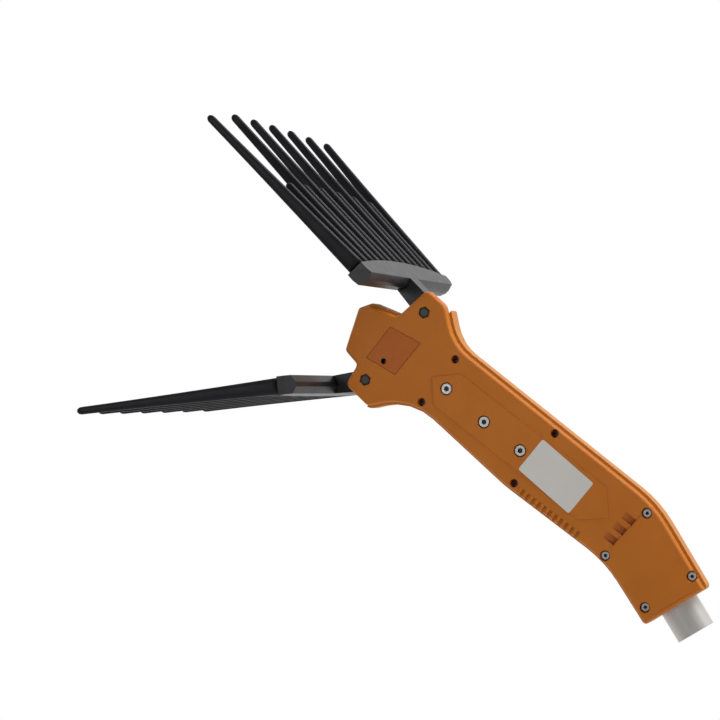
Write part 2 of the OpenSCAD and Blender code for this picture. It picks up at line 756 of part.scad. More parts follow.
module arm(side) {
  i = side == "upper" ? 0 : 1;
  pivot = pivots_at[i];
  color("#2c2d2e") difference() {
    union() {
      at_comb(side) slab(-arm_half, arm_half) arm_profile();
      at_comb(side) translate([-tongue_t / 2, -tongue_w / 2, 0]) cube([tongue_t, tongue_w, tongue_end]);
      slab(slot_gap - arm_half, lever_in) {
        translate(lever_pins_at[i]) circle(pin_d);
        translate(pivot) rotate(lever_turns[i]) translate([0, -pin_d]) square([lever_r, 2 * pin_d]);
      }
    }
    rod(pivot, bush_d / 2 + fit, -face_y, face_y);
    rod(lever_pins_at[i], pin_d / 2 + seat, -face_y, face_y);
    comb_screw_holes(side);
  }
}

module lever_pin(side) {
  i = side == "upper" ? 0 : 1;
  color("#b9bec3") rod(lever_pins_at[i], pin_d / 2, -arm_half, yoke_end);
}

comb_screws_at = [bar_back + wall, root_reach - 4 * wall];

module comb_screw_holes(side) {
  at_comb(side) for (a = comb_screws_at) translate([-bar_d / 2 - over, 0, a]) rotate([0, 90, 0]) {
    cylinder(h = over + tongue_t / 2 + bar_d / 2, d = small_d + 2 * seat);
    cylinder(h = over + small_cap_h / 2 + slot_gap, d = small_cap_d + 2 * pocket_gap);
  }
}

module comb_screws(side) {
  color("#b9bec3") at_comb(side) for (a = comb_screws_at)
    translate([slot_gap - bar_d / 2, 0, a]) rotate([0, 90, 0]) {
      cylinder(h = small_cap_h / 2, d = small_cap_d);
      cylinder(h = tongue_t / 2 + bar_d / 2 - 2 * slot_gap, d = small_d);
    }
}

// Plan of a comb bar: a flat seat across every tine, on the arc of the fan
module bar_plan() {
  seats = fan_r / cos(fan_step / 2);
  end = bar_len / 2;
  front = [for (k = [0:2 * long_n - 1]) let (t = fan_half + fan_step / 2 - k * fan_step)
    [seats * sin(t), fan_at + seats * cos(t)]];
  polygon(concat(front, [[-end, bar_front - bar_h / 2], [-end + bar_h / 2, bar_back],
    [end - bar_h / 2, bar_back], [end, bar_front - bar_h / 2]]));
}

module comb_bar(side) {
  color("#232425") difference() {
    at_comb(side) intersection() {
      rotate([90, 0, 90]) translate([0, 0, -bar_d / 2]) linear_extrude(bar_d) bar_plan();
      slab(-bar_len, bar_len) polygon([[-bar_d / 2, bar_back + wall], [0, bar_back - over],
        [bar_d / 2, bar_back + wall], [bar_d / 2, 2 * root_reach], [-bar_d / 2, 2 * root_reach]]);
    }
    at_comb(side) translate([-tongue_t / 2 - seat, -tongue_w / 2 - seat, 0])
      cube([tongue_t + 2 * seat, tongue_w + 2 * seat, tongue_end + seat]);
    comb_screw_holes(side);
    at_comb(side) for (k = [0:2 * long_n - 2]) at_tine(k) translate([0, 0, -peg_len - seat])
      cylinder(h = peg_len + seat + over, d = peg_d + 2 * seat);
  }
}

peg_len = 2 * wall;

// The frame of tine k, counted from the near end of the bar: +Z along it from its seat
module at_tine(k) {
  translate([0, 0, fan_at]) rotate([fan_half - k * fan_step, 0, 0]) translate([0, 0, fan_r]) children();
}

// One tine: a tapered rounded finger on a peg, longer towards the ends of the bar
end_growth_share = 0.03;
tine_rings_shares = [[0, 1], [0.12, 0.82], [0.5, 0.42], [0.9, 0.06], [0.97, 0]];
tine_tip_shares = [[0.5, 0.9], [0.85, 0.6], [1, 0.25]];
corner_share = 0.3;

function tine_ring(x, z, d, t) = let (c = corner_share * t)
  [for (p = [[d, t - 2 * c], [d - 2 * c, t], [2 * c - d, t], [-d, t - 2 * c],
    [-d, 2 * c - t], [2 * c - d, -t], [d - 2 * c, -t], [d, 2 * c - t]]) [x + p[0] / 2, -p[1] / 2, z]];

module tine(side, k, middle_len) {
  l = middle_len * (1 + end_growth_share * pow((k - short_n) / short_n, 2));
  tip_z = l * tine_rings_shares[4][0];
  bend = side == "upper" && k == 0 ? end_bend / l : 0;
  color("#1d1e1f") at_comb(side) at_tine(k) {
    skin(concat(
      [for (s = tine_rings_shares)
        tine_ring(-bend * l * s[0], l * s[0], tip_d + (tine_d - tip_d) * s[1],
          tip_t + (tine_t - tip_t) * s[1])],
      [for (s = tine_tip_shares) let (z = tip_z + (l - tip_z) * s[0])
        tine_ring(-bend * z, z, tip_d * s[1], tip_t * s[1])]));
    translate([0, 0, -peg_len]) cylinder(h = peg_len + over, d = peg_d);
  }
}

module place() {
  translate([0, 0, pole_stub]) children();
}

place() near_shell();
place() far_shell();
place() access_cover();
place() pole_tube();
place() clamp_screws();
place() shell_screws();
place() frame_screws();
place() pivot_bolts();
place() pivot_nuts();
place() pivot_bushes();
place() near_frame_plate();
place() far_frame_plate();
place() yoke_guides();
place() ball_bearings();
place() motor_mount();
place() motor_can();
place() motor_cap();
place() yoke();
place() crank();
place() crown_gear();
place() crank_bush();
place() armature();
place() drive_pinion();
for (s = sides) {
  place() arm(s);
  place() lever_pin(s);
  place() comb_bar(s);
  place() comb_screws(s);
  for (i = [1:long_n])
    place() tine(s, 2 * i - 2, long_len);
  for (i = [1:short_n])
    place() tine(s, 2 * i - 1, short_len);
}
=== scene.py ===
# Electric olive harvester head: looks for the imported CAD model, in the same frame, in metres.
# The file follows the tool as it is put together, from the pole to the combs, then the studio.
import json
import math

import bmesh
import bpy
from mathutils import Matrix, Vector


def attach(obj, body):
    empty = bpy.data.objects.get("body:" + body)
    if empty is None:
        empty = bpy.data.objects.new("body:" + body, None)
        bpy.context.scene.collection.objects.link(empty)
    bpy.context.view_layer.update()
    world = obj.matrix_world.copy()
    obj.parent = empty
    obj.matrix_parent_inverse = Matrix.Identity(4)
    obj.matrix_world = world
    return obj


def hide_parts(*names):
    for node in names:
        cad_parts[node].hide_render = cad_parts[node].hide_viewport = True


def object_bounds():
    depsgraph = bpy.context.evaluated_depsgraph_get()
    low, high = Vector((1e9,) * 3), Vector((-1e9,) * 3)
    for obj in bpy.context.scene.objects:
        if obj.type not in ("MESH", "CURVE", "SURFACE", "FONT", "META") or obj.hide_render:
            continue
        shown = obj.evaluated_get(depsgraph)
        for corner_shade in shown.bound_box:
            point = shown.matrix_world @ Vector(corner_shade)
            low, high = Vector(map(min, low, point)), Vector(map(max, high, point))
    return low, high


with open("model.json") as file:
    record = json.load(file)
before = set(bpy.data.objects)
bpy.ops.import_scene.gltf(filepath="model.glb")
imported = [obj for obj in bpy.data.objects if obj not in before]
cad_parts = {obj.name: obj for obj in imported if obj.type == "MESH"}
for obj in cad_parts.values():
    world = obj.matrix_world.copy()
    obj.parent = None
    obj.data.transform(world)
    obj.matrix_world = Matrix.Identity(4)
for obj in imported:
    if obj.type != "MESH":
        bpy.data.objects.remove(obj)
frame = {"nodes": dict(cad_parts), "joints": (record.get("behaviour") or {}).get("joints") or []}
cad_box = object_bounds()
nodes = frame["nodes"]
MM = 0.001

# Pole: a drawn aluminium tube, satin anodised. It slides into the rear of the housing, and its
# open lower end takes the next length of pole.
noise_span = {"From Min": 0.3, "From Max": 0.7}  # nearly all of a noise pattern lies between these
COLOUR_A, COLOUR_B, MIXED_COLOUR = 6, 7, 2  # sockets of a Mix node that mixes colours


def linear(hex_colour):
    """An sRGB hex colour as the linear RGBA that shader sockets take."""
    shares = [int(hex_colour[i:i + 2], 16) / 255 for i in (1, 3, 5)]
    return [c / 12.92 if c <= 0.04045 else ((c + 0.055) / 1.055) ** 2.4 for c in shares] + [1.0]


def add(tree, kind, inputs=None, **settings):
    """Adds one node; each input is a value, or a socket or node (its first output) to link."""
    node = tree.nodes.new(kind)
    for name, value in settings.items():
        setattr(node, name, value)
    for name, value in (inputs or {}).items():
        if isinstance(value, bpy.types.Node):
            value = value.outputs[0]
        if isinstance(value, bpy.types.NodeSocket):
            tree.links.new(value, node.inputs[name])
        else:
            node.inputs[name].default_value = value
    return node


def new_material(name, **sockets):
    """A material with one Principled shader, its constant values set on the shader itself."""
    material = bpy.data.materials.new(name)
    material.use_nodes = True
    shader = material.node_tree.nodes["Principled BSDF"]
    for socket, value in sockets.items():
        shader.inputs[socket.replace("_", " ")].default_value = value
    return material, material.node_tree, shader


def wear_pattern(tree, grain_mm, stretch=(1, 1, 1)):
    """Noise on Object coordinates with grains of grain_mm, drawn out where stretch is small."""
    place = add(tree, "ShaderNodeTexCoord")
    drawn_out = add(tree, "ShaderNodeMapping",
                    {"Vector": place.outputs["Object"], "Scale": stretch})
    return add(tree, "ShaderNodeTexNoise",
               {"Vector": drawn_out, "Scale": 1 / (grain_mm * MM), "Detail": 3.0})


def vary(tree, shader, socket, pattern, low, high):
    """Drives a number on the shader between two values by a noise pattern."""
    number = add(tree, "ShaderNodeMapRange",
                 {"Value": pattern, **noise_span, "To Min": low, "To Max": high})
    tree.links.new(number.outputs["Result"], shader.inputs[socket])


def blend(tree, shader, share, low, high):
    """Base colour from low to high by a share; both are linear colours or sockets."""
    mix = add(tree, "ShaderNodeMix", {"Factor": share, COLOUR_A: low, COLOUR_B: high},
              data_type="RGBA")
    tree.links.new(mix.outputs[MIXED_COLOUR], shader.inputs["Base Color"])


def tint(tree, shader, pattern, dark, light):
    """Base colour between two close tones by a noise pattern."""
    share = add(tree, "ShaderNodeMapRange", {"Value": pattern, **noise_span})
    blend(tree, shader, share, linear(dark), linear(light))


def emboss(tree, shader, pattern, depth_mm, strength, edge_mm=0.0):
    """Bump from a pattern, as deep as the real relief, over edges rounded by edge_mm."""
    edge = add(tree, "ShaderNodeBevel", {"Radius": edge_mm * MM}, samples=6)
    bump = add(tree, "ShaderNodeBump", {"Height": pattern, "Normal": edge,
                                        "Distance": depth_mm * MM, "Strength": strength})
    tree.links.new(bump.outputs["Normal"], shader.inputs["Normal"])


def dress(material, *names):
    """Gives CAD nodes' objects one material."""
    for name in names:
        slots = nodes[name].data.materials
        slots.clear()
        slots.append(material)


# Anodised aluminium: a soft warm grey, dulled by its oxide, with faint lines along the tube. The
# real drawing lines are finer, and are drawn coarser so that they show.
anodised, tree, shader = new_material("anodised_aluminium", Metallic=0.6)
drawn = wear_pattern(tree, grain_mm=0.8, stretch=(1, 1, 0.02))
tint(tree, shader, drawn, "#bdbab5", "#c6c3be")
vary(tree, shader, "Roughness", drawn, low=0.38, high=0.5)
emboss(tree, shader, drawn, depth_mm=0.01, strength=0.2, edge_mm=0.5)
dress(anodised, "pole_tube")

# Housing: two moulded ABS halves, a deeper far one with a lip and a flatter near one, with an
# access cover let into the nose. The mould was spark eroded, so the plastic has a satin grain.
near_tones = ("#bb6919", "#c16f1c")
# The far half is a yellower copy of the near orange: painted light, the warmer hue of its lit
# spine.
far_lit_tones = ("#be7520", "#c47b23")
cover_tones = ("#b05d1f", "#b56121")


def moulded_abs(name, tones, edge_mm):
    """Satin ABS: an even orange with a broad, weak sheen and edges rounded by edge_mm."""
    material, tree, shader = new_material(name, Specular_IOR_Level=0.25)
    tint(tree, shader, wear_pattern(tree, grain_mm=45.0), *tones)
    vary(tree, shader, "Roughness", wear_pattern(tree, grain_mm=6.0), low=0.42, high=0.5)
    # The real grain is finer than 0.1 mm, and is drawn coarser so that it shows
    emboss(tree, shader, wear_pattern(tree, grain_mm=0.7), depth_mm=0.01, strength=0.1,
           edge_mm=edge_mm)
    return material


near_abs = moulded_abs("moulded_abs_near", near_tones, edge_mm=2.0)
dress(near_abs, "near_shell")
dress(moulded_abs("moulded_abs_far", far_lit_tones, edge_mm=0.6), "far_shell")
dress(moulded_abs("moulded_abs_cover", cover_tones, edge_mm=0.6), "access_cover")

# Painted shade darkens the three finger pockets, which slope down from the near face. The box
# below is centred on their row, turned with it, and as deep as the shade takes to show fully.
pocket_row_at = Vector((-5.3, -27.0, 119.5)) * MM
pocket_lean = math.radians(21)
pocket_shade_box = (18 * MM, 0.5 * MM, 9 * MM)
tree = near_abs.node_tree
shader = tree.nodes["Principled BSDF"]
unshaded_colour = shader.inputs["Base Color"].links[0].from_socket
place = add(tree, "ShaderNodeTexCoord")
in_box = add(tree, "ShaderNodeMapping",
             {"Vector": place.outputs["Object"], "Location": pocket_row_at,
              "Rotation": (0, -pocket_lean, 0), "Scale": pocket_shade_box}, vector_type="TEXTURE")
below = add(tree, "ShaderNodeSeparateXYZ", {0: in_box})
apart = add(tree, "ShaderNodeVectorMath", {0: in_box}, operation="ABSOLUTE")
apart = add(tree, "ShaderNodeSeparateXYZ", {0: apart})
farthest = add(tree, "ShaderNodeMath", {0: apart.outputs["X"], 1: apart.outputs["Z"]},
               operation="MAXIMUM")
inside = add(tree, "ShaderNodeMath", {0: farthest, 1: 1.0}, operation="LESS_THAN")
painted_pocket_shade = add(tree, "ShaderNodeMath", {0: inside, 1: below.outputs["Y"]}, operation="MULTIPLY",
           use_clamp=True)
# Painted shade: the pocket floors turn a darker orange
blend(tree, shader, painted_pocket_shade, unshaded_colour, linear("#ae5a1a"))

# Drive inside the housing: cast plates, a steel crank, yoke and gears, sintered bushes and a
# small motor in a can. It is bolted to the frame plates, and only the ends of the arms' slot
# let one see in.
# Cast aluminium: a dull grey metal with a sandy skin.
cast, tree, shader = new_material("cast_aluminium", Metallic=1.0, Roughness=0.55)
sand = wear_pattern(tree, grain_mm=1.2)
tint(tree, shader, sand, "#85888a", "#9a9d9f")
emboss(tree, shader, sand, depth_mm=0.06, strength=0.5)
dress(cast, "near_frame_plate", "far_frame_plate", "motor_mount")
# Machined steel: a bright grey metal, streaked by the tool along the turning marks.
steel, tree, shader = new_material("machined_steel", Metallic=1.0)
turned = wear_pattern(tree, grain_mm=0.9, stretch=(1, 8, 1))
tint(tree, shader, turned, "#8f9397", "#a5a9ac")
vary(tree, shader, "Roughness", turned, low=0.28, high=0.42)
dress(steel, "yoke", "crank", "crown_gear", "drive_pinion", "ball_bearings", "armature",
      "upper_lever_pin", "lower_lever_pin")
# Sintered bronze: a matt brown-gold metal, mottled by its pores.
bronze, tree, shader = new_material("sintered_bronze", Metallic=1.0, Roughness=0.5)
tint(tree, shader, wear_pattern(tree, grain_mm=0.8), "#8d6c35", "#a8874a")
dress(bronze, "pivot_bushes", "yoke_guides", "crank_bush")
# Enamel: a near-black paint with a soft shine.
enamel, tree, shader = new_material("dark_enamel", Roughness=0.4)
tint(tree, shader, wear_pattern(tree, grain_mm=5.0), "#25272a", "#303336")
dress(enamel, "motor_can", "motor_cap")

# Fasteners: zinc-plated socket screws with painted shade dark in their sockets, blackened hexagon
# bolts and nuts on the pivots, and screws deep in the holes along the edges, painted dark red
# for the shade and orange reflection in those holes. All are turned or cold-headed steel.
clamp_top_mm, frame_top_mm = -24.0, -26.5
pivots = {joint["child"]: Vector(joint["pos_m"]) for joint in frame["joints"]
          if joint["child"] in ("upper_comb", "lower_comb")}


def socket_screws(name, top_mm):
    """Zinc-plated steel: silvery on the rim of a head with its top at top_mm, with painted shade
    dark below it.
    """
    material, tree, shader = new_material(name, Metallic=0.7)
    vary(tree, shader, "Roughness", wear_pattern(tree, grain_mm=1.0), low=0.28, high=0.42)
    place = add(tree, "ShaderNodeTexCoord")
    depth = add(tree, "ShaderNodeSeparateXYZ", {0: place.outputs["Object"]})
    below = add(tree, "ShaderNodeMapRange",
                {"Value": depth.outputs["Y"], "From Min": (top_mm + 0.3) * MM,
                 "From Max": (top_mm + 0.7) * MM})
    # Painted shade: the head's sides and socket go dark below its top
    blend(tree, shader, below, linear("#bcbec0"), linear("#2c2b29"))
    return material


dress(socket_screws("zinc_clamp_screws", clamp_top_mm), "clamp_screws")
dress(socket_screws("zinc_frame_screws", frame_top_mm), "frame_screws")
# Black oxide on steel: a dark, half-dull metal, lighter in the middle of the heads, with painted
# shade black towards their corners and around them.
black_oxide, tree, shader = new_material("black_oxide_steel", Metallic=0.6, Roughness=0.45)
unshaded_mm, shaded_mm = 3.2, 4.6
place = add(tree, "ShaderNodeTexCoord")
flat = add(tree, "ShaderNodeVectorMath", {0: place.outputs["Object"], 1: (1, 0, 1)},
           operation="MULTIPLY")
away = [add(tree, "ShaderNodeVectorMath", {0: flat, 1: (pivot.x, 0, pivot.z)},
            operation="DISTANCE").outputs["Value"] for pivot in pivots.values()]
nearest = add(tree, "ShaderNodeMath", dict(enumerate(away)), operation="MINIMUM")
# Painted shade: black from the heads' corners outwards
corner_shade = add(tree, "ShaderNodeMapRange", {"Value": nearest, "From Min": unshaded_mm * MM,
                                          "From Max": shaded_mm * MM})
blend(tree, shader, corner_shade, linear("#484742"), linear("#141414"))
dress(black_oxide, "pivot_bolts", "pivot_nuts", "upper_comb_screws", "lower_comb_screws")
# Steel deep in the holes: a dark, glossy red, which is painted shade with the orange of the hole
# walls reflected in it.
hole_shade_steel, tree, shader = new_material("steel_with_hole_shade", Roughness=0.35)
tint(tree, shader, wear_pattern(tree, grain_mm=1.5), "#451309", "#5a1a0c")
# Painted shade and painted reflection: the red stands in for the dim, orange-lit holes
dress(hole_shade_steel, "shell_screws")

# Combs: an arm and a bar on each pivot, moulded in glass-filled nylon. The bars are screwed to
# the arms, and the arms turn in bronze bushes.


def moulded_nylon(name, gloss, edge_mm):
    """Glass-filled nylon: black with a cool sheen of strength gloss and rounded edges."""
    material, tree, shader = new_material(name, Specular_IOR_Level=gloss)
    tint(tree, shader, wear_pattern(tree, grain_mm=20.0), "#18181b", "#1e1e22")
    vary(tree, shader, "Roughness", wear_pattern(tree, grain_mm=9.0), low=0.36, high=0.42)
    emboss(tree, shader, wear_pattern(tree, grain_mm=2.0), depth_mm=0.005, strength=0.05,
           edge_mm=edge_mm)
    return material


glossy_nylon = moulded_nylon("glass_filled_nylon_glossy", gloss=0.5, edge_mm=0.8)
dress(glossy_nylon, "upper_arm", "lower_arm", "upper_comb_bar", "lower_comb_bar")

# Tines: tapered nylon fingers, flattened in the direction of swing and rounded all over. Long
# and short ones take turns along the bar, fanned about a point far behind it, each on a peg.
comb_angles = {"upper": 100.0, "lower": 155.0}
end_leans = {"upper": math.radians(-2.0), "lower": 0.0}
tine_sizes = {"Fan Radius": 900 * MM, "Root Spread": 121 * MM, "Long Length": 200 * MM,
              "Short Length": 108 * MM, "Root Depth": 16.5 * MM, "Root Thickness": 8 * MM,
              "Tip Depth": 7.5 * MM, "Tip Thickness": 6 * MM, "End Growth": 0.03}
tine_count = 13
root_reach, root_sink = 61 * MM, 0.4 * MM
around, rings = 28, 56


def new_tree(name, sizes):
    """An empty node tree with a number for each size, a material, and a mesh that comes out."""
    tree = bpy.data.node_groups.new(name, "GeometryNodeTree")
    tree.interface.new_socket("Geometry", in_out="OUTPUT", socket_type="NodeSocketGeometry")
    for size in sizes:
        tree.interface.new_socket(size, in_out="INPUT", socket_type="NodeSocketFloat")
    tree.interface.new_socket("Material", in_out="INPUT", socket_type="NodeSocketMaterial")
    return tree, add(tree, "NodeGroupInput").outputs


def hand_out(tree, instances, material):
    """Ends a tree: its instances made real, in their material."""
    real = add(tree, "GeometryNodeRealizeInstances", {0: instances})
    dressed = add(tree, "GeometryNodeSetMaterial", {"Geometry": real, "Material": material})
    add(tree, "NodeGroupOutput", {0: dressed})


def tine_tree():
    """One comb's tines about the centre of their fan: +Z along the middle tine, +X the depth."""
    tree, size = new_tree("comb_tines", [*tine_sizes, "End Lean"])
    spot = add(tree, "ShaderNodeSeparateXYZ", {0: add(tree, "GeometryNodeInputPosition")}).outputs
    fingers = []
    for length in ("Long Length", "Short Length"):
        # A tube of unit height and radius, shaped by the sums below, which are worked down in
        # order. Its rings crowd together towards the tip, where it closes in a half ellipse.
        tube = add(tree, "GeometryNodeMeshCylinder", {"Vertices": around, "Side Segments": rings,
                                                      "Radius": 1.0, "Depth": 1.0})
        known = {**{name: size[name] for name in tine_sizes}, **{a: spot[a] for a in "XYZ"}}
        sums = [("above", "SUBTRACT", 0.5, "Z"), ("fall", "MULTIPLY", "above", "above"),
                ("height", "SUBTRACT", 1.0, "fall"), ("left", "SUBTRACT", 1.0, "height"),
                ("taper", "POWER", "left", 1.35), ("along", "MULTIPLY", "height", length),
                ("to_tip", "SUBTRACT", length, "along"),
                ("cap_long", "MULTIPLY", "Tip Depth", 0.7),
                ("from_tip", "DIVIDE", "to_tip", "cap_long"),
                ("within", "MINIMUM", "from_tip", 1.0), ("near_tip", "SUBTRACT", 1.0, "within"),
                ("near_square", "MULTIPLY", "near_tip", "near_tip"),
                ("cap_square", "SUBTRACT", 1.0, "near_square"), ("cap", "SQRT", "cap_square", 0)]
        for axis, root, tip in (("X", "Root Depth", "Tip Depth"),
                                ("Y", "Root Thickness", "Tip Thickness")):
            # Squared-off circle: a power of the cosine, with its sign
            sums += [("more", "SUBTRACT", root, tip), ("tapered", "MULTIPLY", "more", "taper"),
                     ("full", "ADD", tip, "tapered"), ("sign", "SIGN", axis, 0),
                     ("bare", "ABSOLUTE", axis, 0), ("bulge", "POWER", "bare", 0.62),
                     ("squared", "MULTIPLY", "sign", "bulge"),
                     ("half", "MULTIPLY", "full", 0.5), ("wide", "MULTIPLY", "squared", "half"),
                     ("across_" + axis, "MULTIPLY", "wide", "cap")]
        for name, operation, a, b in sums:
            known[name] = add(tree, "ShaderNodeMath", {0: known.get(a, a), 1: known.get(b, b)},
                              operation=operation)
        shape = add(tree, "ShaderNodeCombineXYZ", {"X": known["across_X"], "Y": known["across_Y"],
                                                   "Z": known["along"]})
        shaped = add(tree, "GeometryNodeSetPosition", {"Geometry": tube, "Position": shape})
        fingers.append(add(tree, "GeometryNodeSetShadeSmooth", {"Geometry": shaped}))
    both = add(tree, "GeometryNodeGeometryToInstance")
    for finger in reversed(fingers):
        tree.links.new(finger.outputs[0], both.inputs[0])
    # A point on the arc of the fan for each tine. It is turned to its direction and grows a
    # little towards the ends of the bar, and the first one also leans.
    known = {**{name: size[name] for name in tine_sizes}, "End Lean": size["End Lean"],
             "index": add(tree, "GeometryNodeInputIndex")}
    for name, operation, a, b in (
            ("slope", "DIVIDE", "Root Spread", "Fan Radius"), ("half", "ARCSINE", "slope", 0),
            ("passed", "DIVIDE", "index", (tine_count - 1) / 2),
            ("share", "SUBTRACT", 1.0, "passed"), ("angle", "MULTIPLY", "half", "share"),
            ("sine", "SINE", "angle", 0), ("minus", "MULTIPLY", "Fan Radius", -1.0),
            ("aside", "MULTIPLY", "sine", "minus"), ("cosine", "COSINE", "angle", 0),
            ("ahead", "MULTIPLY", "cosine", "Fan Radius"), ("first", "LESS_THAN", "index", 0.5),
            ("lean", "MULTIPLY", "first", "End Lean"), ("square", "MULTIPLY", "share", "share"),
            ("more", "MULTIPLY", "square", "End Growth"), ("growth", "ADD", "more", 1.0),
            ("long_or_short", "MODULO", "index", 2.0)):
        known[name] = add(tree, "ShaderNodeMath", {0: known.get(a, a), 1: known.get(b, b)},
                          operation=operation)
    root = add(tree, "ShaderNodeCombineXYZ", {"Y": known["aside"], "Z": known["ahead"]})
    points = add(tree, "GeometryNodePoints", {"Position": root, "Count": tine_count})
    turn = add(tree, "ShaderNodeCombineXYZ", {"X": known["angle"], "Y": known["lean"]})
    scale = add(tree, "ShaderNodeCombineXYZ", {"X": 1.0, "Y": 1.0, "Z": known["growth"]})
    spread = add(tree, "GeometryNodeInstanceOnPoints",
                 {"Points": points, "Instance": both, "Pick Instance": True,
                  "Instance Index": known["long_or_short"], "Rotation": turn, "Scale": scale})
    hand_out(tree, spread, size["Material"])
    return tree


def grown(name, tree, values, place):
    """Runs a node tree with the given inputs and keeps the result as a plain mesh, put in place."""
    holder = bpy.data.objects.new(name, bpy.data.meshes.new(name))
    bpy.context.collection.objects.link(holder)
    modifier = holder.modifiers.new("shape", "NODES")
    modifier.node_group = tree
    for item in tree.interface.items_tree:
        if item.in_out == "INPUT" and item.name in values:
            modifier[item.identifier] = values[item.name]
    graph = bpy.context.evaluated_depsgraph_get()
    result = bpy.data.meshes.new_from_object(holder.evaluated_get(graph))
    holder.modifiers.clear()
    holder.data = result
    result.transform(place)
    return holder


tines = tine_tree()
dull_nylon = moulded_nylon("glass_filled_nylon_dull", gloss=0.18, edge_mm=0.0)
fan_centre = Matrix.Translation((0, 0, root_reach - tine_sizes["Fan Radius"] - root_sink))
for side, body in (("upper", "upper_comb"), ("lower", "lower_comb")):
    turn = Matrix.Rotation(math.radians(90 - comb_angles[side]), 4, "Y")
    values = {**tine_sizes, "End Lean": end_leans[side], "Material": dull_nylon}
    piece = grown(side + "_tines", tines, values,
                  Matrix.Translation(pivots[body]) @ turn @ fan_centre)
    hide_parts(*[n for n in nodes if n.startswith(side) and "tine" in n])
    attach(piece, body)

# Vents: eleven slots along the belly of the near half, moulded with it. Each is closed by the
# tongue of a dust strip a little below the face and flanked by a low rounded rib.
vent_sizes = {"Pitch": 6.64 * MM, "Slot Length": 8.6 * MM, "Slot Width": 2.4 * MM,
              "Tongue Length": 6.0 * MM, "Tongue Depth": 2.2 * MM, "Rib Height": 1.1 * MM}
vent_count = 11
tongue_thick = 1 * MM
rib_length_share, rib_width_share, rib_shift_share = 0.32, 0.45, 0.34
first_vent = Vector((-70.6, 0, 196.6)) * MM
last_vent = Vector((-44.8, 0, 135.4)) * MM
vent_lean = math.radians(21)


def vent_tree():
    """The row of tongues and ribs: +Z along the row, +X along a slot, +Y out of the face."""
    tree, size = new_tree("vent_row", vent_sizes)
    known = {name: size[name] for name in vent_sizes}
    for name, operation, a, b in (
            ("spare", "SUBTRACT", "Slot Length", "Tongue Length"),
            ("inward", "MULTIPLY", "spare", 0.5), ("sunk", "MULTIPLY", "Tongue Depth", -1.0),
            ("land", "SUBTRACT", "Pitch", "Slot Width"),
            ("rib_wide", "MULTIPLY", "land", rib_width_share),
            ("rib_long", "MULTIPLY", "Slot Length", rib_length_share),
            ("rib_in", "MULTIPLY", "Slot Length", rib_shift_share),
            ("rib_on", "MULTIPLY", "Pitch", -0.5)):
        known[name] = add(tree, "ShaderNodeMath", {0: known.get(a, a), 1: known.get(b, b)},
                          operation=operation)
    step = add(tree, "ShaderNodeCombineXYZ", {"Z": size["Pitch"]})
    row = add(tree, "GeometryNodeMeshLine", {"Offset": step, "Count": vent_count})
    # Tongue: a small plate whose front lies below the face
    plate = add(tree, "ShaderNodeCombineXYZ", {"X": size["Tongue Length"], "Y": tongue_thick,
                                               "Z": size["Slot Width"]})
    place = add(tree, "ShaderNodeCombineXYZ", {"X": known["inward"], "Y": known["sunk"]})
    tongue = add(tree, "GeometryNodeMeshCube", {"Size": plate})
    tongue = add(tree, "GeometryNodeTransform", {"Geometry": tongue.outputs["Mesh"],
                                                 "Translation": place})
    # Rib: a flattened ball between two slots, half in the face
    ball = add(tree, "GeometryNodeMeshUVSphere", {"Segments": 24, "Rings": 12, "Radius": 1.0})
    stretch = add(tree, "ShaderNodeCombineXYZ", {"X": known["rib_long"], "Y": size["Rib Height"],
                                                 "Z": known["rib_wide"]})
    place = add(tree, "ShaderNodeCombineXYZ", {"X": known["rib_in"], "Z": known["rib_on"]})
    rib = add(tree, "GeometryNodeTransform", {"Geometry": ball.outputs["Mesh"],
                                              "Scale": stretch, "Translation": place})
    rib = add(tree, "GeometryNodeSetShadeSmooth", {"Geometry": rib})
    both = add(tree, "GeometryNodeJoinGeometry")
    tree.links.new(tongue.outputs[0], both.inputs[0])
    tree.links.new(rib.outputs[0], both.inputs[0])
    spread = add(tree, "GeometryNodeInstanceOnPoints", {"Points": row, "Instance": both})
    hand_out(tree, spread, size["Material"])
    return tree


def near_face(spot):
    """Where the near half's face lies in front of a spot."""
    inwards = Vector((0, 1, 0))
    return nodes["near_shell"].ray_cast(spot - inwards, inwards)[1]


along = (last_vent - first_vent).normalized()
across = Vector((math.cos(vent_lean), 0, math.sin(vent_lean)))
# The face is measured on a land between two slots, in the middle of the row
face_y = near_face(first_vent + along * vent_sizes["Pitch"] * (vent_count / 2 - 1)).y
turn = Matrix((across, Vector((0, -1, 0)), along)).transposed().to_4x4()
place = Matrix.Translation((first_vent.x, face_y, first_vent.z)) @ turn
# The ribs' edges are too small for the housing's rounding, so the same plastic has less of it
vent_abs = moulded_abs("moulded_abs_vents", near_tones, edge_mm=0.2)
vents = grown("vent_row", vent_tree(), {**vent_sizes, "Material": vent_abs}, place)
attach(vents, "housing")

# Label: a bare plate of silver foil with rounded corners, punched from a sheet and stuck on the
# raised pad of the near face.
label_long, label_wide, label_thick, label_corner = 65 * MM, 38 * MM, 0.25 * MM, 2 * MM
label_at = Vector((-32.1, 0, 193.4)) * MM
label_lean = math.radians(18.1)
